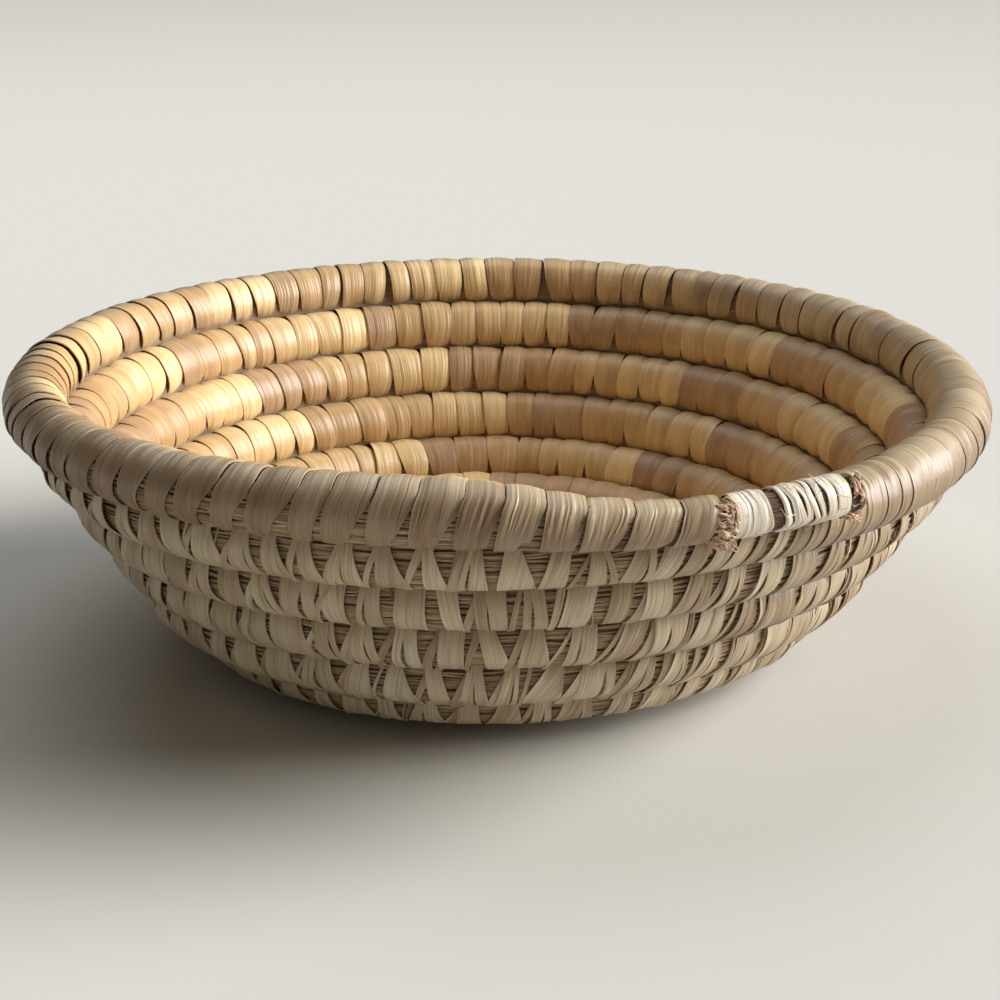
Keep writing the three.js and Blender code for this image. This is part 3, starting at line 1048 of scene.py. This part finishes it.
def add_crimped(sheaf, near, far, angle, sway):
    """A crimped fibre laid along the tail, so far round it from the outside."""
    share = even_shares(CRIMPED_STEPS)
    reach = rng.uniform(0.5, 1.0) * (far - near + 2 * OVERHANG)
    start = rng.uniform(near - OVERHANG, far + OVERHANG - reach)
    crimp, phase, rise, radius = pick(CRIMPED)
    length = start + reach * share
    wave = length / crimp * 2 * math.pi + phase
    around = angle + sway * (share - 0.5) + 0.07 * np.sin(wave)
    raised = 0.98 + 0.05 * np.sin(wave + 1.5) + 0.10 * np.sin(share * math.pi) + rise
    radii = radius * (1 - 0.5 * share**3)
    add_tube(sheaf, round_tail(length, raised, around), radii, FIBRE_SIDES, rng.random())


def add_droop(sheaf, length):
    """A loose end that hangs from the lower edge of the tail and sweeps towards the coil's end."""
    share = even_shares(DROOP_STEPS)
    sweep, wave, phase, bow, head, foot, radius = pick(DROOPING)
    along = length - sweep * share + 0.3 * np.sin(share * wave + phase)
    turns = along * TURNS_PER_MM_OF_TAIL
    size = row_at(turns)[2]
    out = size * (0.80 + 0.28 * np.sin(share * math.pi * 0.7) * bow)
    up = size * mix(head, foot, share)
    radii = radius * (1 - 0.6 * share)
    add_tube(sheaf, place(turns, out, up, FLOOR_GAP), radii, FIBRE_SIDES, rng.random())


def add_stub(sheaf, length):
    """A stiff fibre end that lies round the top of the tail."""
    share = even_shares(STUB_STEPS)
    along = length + rng.normal(0, 0.4) * share
    start, reach, rise, radius = pick(STUBBY)
    points = round_tail(along, 1.0 + rise * np.sin(share * math.pi), start - reach * share)
    add_tube(sheaf, points, np.full(STUB_STEPS, radius), FIBRE_SIDES, rng.random())


def make_tuft(name, near, far, angles, droops, material):
    """Crimped fibres at the given angles round the tail, with loose ends below and stiff ones on top."""
    sheaf = Sheaf()
    for angle in angles:
        add_crimped(sheaf, near, far, angle + rng.normal(0, 0.08), rng.normal(0, 0.15))
    for _ in range(droops):
        add_droop(sheaf, rng.uniform(near, far + 2.0))
    for _ in range(STUBS):
        add_stub(sheaf, rng.uniform(near, mix(near, far, 0.6)))
    make_piece(f"fibres_{name}", sheaf, material, "frayed_fibre", name)


def add_hair(sheaf, length, angle):
    """A single stray fibre that stands off the tail."""
    share = even_shares(HAIR_STEPS)
    along = length + rng.normal(0, 2.5) * share
    raised = 0.98 + rng.uniform(0.1, 0.5) * share**1.5
    around = angle + rng.normal(0, 0.8) * share
    radii = np.full(HAIR_STEPS, 0.07)
    add_tube(sheaf, round_tail(along, raised, around), radii, 4, rng.uniform(0.6, 1.0))


def make_lashing(name, near, far, strips, material):
    """Strips round a stretch of the tail: middle and width as shares of it, fold height, bend and lean."""
    sheaf = Sheaf()
    span = far - near
    for middle, width, height, bend, lean in strips:
        tone = rng.uniform(0.55, 1.0)
        add_round_wrap(sheaf, near + span * middle, span * width, height, bend, lean, tone)
    for _ in range(HAIRS):
        add_hair(sheaf, rng.uniform(near, far), rng.uniform(-0.6, 1.9))
    make_piece(f"leaf_{name}", sheaf, material, "tail_leaf", name)


def make_tail(leaf, fray):
    strips = {"tail_band": BAND_STRIPS, "tail_wrap": TAIL_WRAP_STRIPS}
    for k in range(LASHINGS):
        strips[f"tail_lashing_{k + 1}"] = LASHING_STRIPS[k]
    for name, near, far in tail_stretches():
        if name in strips:
            make_lashing(name, near, far, strips[name], leaf)
        elif name == "tail_fray_1":
            make_tuft(name, near, far, END_TUFT, END_DROOPS, fray)
        elif name == "tail_fray_2":
            make_tuft(name, near, far - TUFT_COVER / 2, INNER_TUFT, INNER_DROOPS, fray)


# The stems and the knot

def stem_path():
    """Turns and lengths of the points along the coil, from its end to its start."""
    lengths = [0.0]
    turns = [0.0]
    while turns[-1] < LAST_TURN:
        turns.append(turns[-1] + STEM_STEP * turns_per_mm(turns[-1]))
        lengths.append(lengths[-1] + STEM_STEP)
    return np.minimum(np.array(turns), LAST_TURN), np.array(lengths)


def add_core(sheaf, turns, lengths, grow):
    """A dark rod inside the stems, its dark colour painted shade between them, darker still in the tail.
    """
    angle = np.arange(CORE_SIDES) * (2 * math.pi / CORE_SIDES)
    core = close_tube(place(
        turns[:, None],
        CORE_RADIUS * grow[:, None] * np.cos(angle),
        np.where(np.sin(angle) > 0, CORE_TOP, CORE_FOOT) * grow[:, None] * np.sin(angle),
        CORE_FLOOR,
    ))
    grain = point_rows(angle * CORE_RADIUS, np.pad(lengths, 1, mode="edge")[:, None])
    tones = CORE_PAINTED_SHADE * smooth_step(np.pad(turns, 1, mode="edge"), THIN_TURNS, FULL_TURN)
    marks = fibre_marks(tones, CORE_SIDES)
    sheaf.add(core.reshape(-1, 3), tube_faces(len(core), CORE_SIDES), grain, marks)


def stem_shades(turns):
    """1 along most of the coil, and less in the tail and between the rim's strips at the left: painted
    shade in the gaps there.
    """
    in_coil = mix(0.02, 1.0, smooth_step(turns, THIN_TURNS, FULL_TURN))
    at_left = smooth_step(-np.cos(azimuth_at(turns)), 0.3, 0.8)
    on_rim = 1 - smooth_step(turns, 0.98, 1.02)
    return in_coil * (1 - 0.8 * at_left * on_rim)


def make_stems(material):
    sheaf = Sheaf()
    turns, lengths = stem_path()
    grow = row_at(turns)[2] / WRAP_RADIUS
    shades = stem_shades(turns)
    add_core(sheaf, turns, lengths, grow)
    for stem_number in range(STEMS):
        angle = np.full(len(turns), mix(-STEM_SPREAD, STEM_SPREAD, stem_number / (STEMS - 1)))
        ring = np.full(len(turns), STEM_RING)
        for wave in STEM_WAVES:
            angle += 0.05 * np.sin(lengths / wave * 2 * math.pi + rng.uniform(*STEM_PHASES))
            ring += 0.06 * np.sin(lengths / wave * 2 * math.pi + rng.uniform(*STEM_PHASES))
        points = place(turns, ring * grow * np.cos(angle), ring * grow * np.sin(angle), STEM_FLOOR)
        radii = STEM_RADIUS * rng.uniform(0.7, 1.25) * grow
        # Each stem's tone is darkened by painted shade in the tail and between the rim's strips at the
        # left
        add_tube(sheaf, points, radii, STEM_SIDES, rng.uniform(0.25, 1.0) * shades)
    make_piece("grass_stems", sheaf, material, "grass_stem", "grass_core")


def make_knot(material):
    """A ribbed button of leaf, as high as the coil round it."""
    sheaf = Sheaf()
    angle = np.linspace(0, 2 * math.pi, KNOT_SIDES, endpoint=False)
    bend = np.linspace(0.0001, math.pi - 0.0001, KNOT_RINGS)[:, None]
    half_height = WRAP_RADIUS * FLAT_SHARE
    ridge = 0.25 * np.abs(np.sin(angle * 6)) * np.sin(bend)
    reach = (KNOT_RADIUS - 0.5) * np.sin(bend) ** 0.55 + ridge
    fall = np.sign(np.cos(bend)) * np.abs(np.cos(bend)) ** 0.7
    rise = half_height - (half_height - 0.4) * fall
    points = point_rows(reach * np.cos(angle), reach * np.sin(angle), rise)
    grain = point_rows(angle * KNOT_RADIUS, bend * KNOT_RADIUS)
    marks = np.tile((0.4, 0.3, 0.0, 1.0), (KNOT_RINGS * KNOT_SIDES, 1))
    sheaf.add(points, tube_faces(KNOT_RINGS, KNOT_SIDES), grain, marks)
    make_piece("leaf_start_knot", sheaf, material, "palm_leaf", "start_knot")


# The stage

def make_floor():
    bpy.ops.mesh.primitive_plane_add(size=FLOOR_SIZE, location=(0, 0, 0))
    floor = bpy.context.object
    floor.name = "floor"
    floor.data.materials.append(floor_material())


def add_light(name, kind, stand, direction, strength, shade):
    """A light that stands at one place and shines in a direction."""
    light = bpy.data.lights.new(name, kind)
    light.energy = strength
    light.color = shade
    lamp = bpy.data.objects.new(name, light)
    lamp.location = stand
    lamp.rotation_euler = direction.to_track_quat("-Z", "Y").to_euler()
    show(lamp)
    return light


def add_area_light(name, stand, size, power, shade):
    light = add_light(name, "AREA", stand, Vector(LIGHT_AIM) - Vector(stand), power, shade)
    light.shape = "DISK"
    light.size = size


def make_lights():
    key = add_light("key", "SUN", KEY_FROM, -Vector(KEY_FROM), KEY_STRENGTH, (0.98, 0.99, 1.0))
    key.angle = KEY_SPREAD
    add_area_light("fill", *FILL_LIGHT)
    add_area_light("overhead", *OVERHEAD_LIGHT)
    world = bpy.data.worlds.new("room")
    world.use_nodes = True
    sky = world.node_tree.nodes["Background"]
    sky.inputs["Color"].default_value = ROOM_SHADE
    sky.inputs["Strength"].default_value = ROOM_STRENGTH
    bpy.context.scene.world = world


def make_camera():
    camera = bpy.data.cameras.new("camera")
    camera.sensor_width = CAMERA_SENSOR
    camera.lens = CAMERA_LENS
    camera.clip_start = 0.01
    camera.clip_end = 100.0
    eye = bpy.data.objects.new("camera", camera)
    level = math.cos(CAMERA_ELEVATION)
    back = Vector((
        level * math.sin(CAMERA_AZIMUTH),
        -level * math.cos(CAMERA_AZIMUTH),
        math.sin(CAMERA_ELEVATION),
    ))
    aim = back.to_track_quat("Z", "Y").to_matrix().to_4x4() @ Matrix.Rotation(CAMERA_ROLL, 4, "Z")
    eye.matrix_world = Matrix.Translation((Vector(CAMERA_TARGET) + back * CAMERA_DISTANCE) * MM) @ aim
    show(eye)
    bpy.context.scene.camera = eye


bpy.context.scene.view_settings.view_transform = "Standard"
# Inner colours golden and outer ones duller: partly the leaf's weathering, partly painted warm light
# inside and painted shade outside
palm = leaf_material(
    "palm_leaf",
    [(0.0, colour(183, 150, 115)), (0.3, colour(199, 162, 114)), (1.0, colour(242, 212, 156))],
    [(0.0, colour(150, 126, 99)), (0.5, colour(184, 165, 136)), (1.0, colour(214, 199, 171))],
    roughness=0.42,
)
# Partly painted light: the tail's leaf is paler than the coil's, partly its own colour and partly the
# light that falls on the tail
tail_palm = leaf_material(
    "tail_leaf",
    [(0.0, colour(176, 156, 128)), (1.0, colour(232, 218, 192))],
    [(0.0, colour(210, 197, 176)), (1.0, colour(248, 241, 227))],
    roughness=0.32,
)
stem = fibre_material(
    "grass_stem",
    [(0.0, colour(104, 83, 61)), (0.25, colour(162, 138, 107)), (1.0, colour(212, 190, 156))],
    roughness=0.7,
)
frayed = fibre_material(
    "frayed_fibre",
    [(0.0, colour(172, 132, 106)), (0.5, colour(222, 186, 156)), (1.0, colour(246, 224, 200))],
    roughness=0.75,
)
make_wraps(palm)
make_tail(tail_palm, frayed)
make_stems(stem)
make_knot(palm)
make_floor()
make_lights()
make_camera()
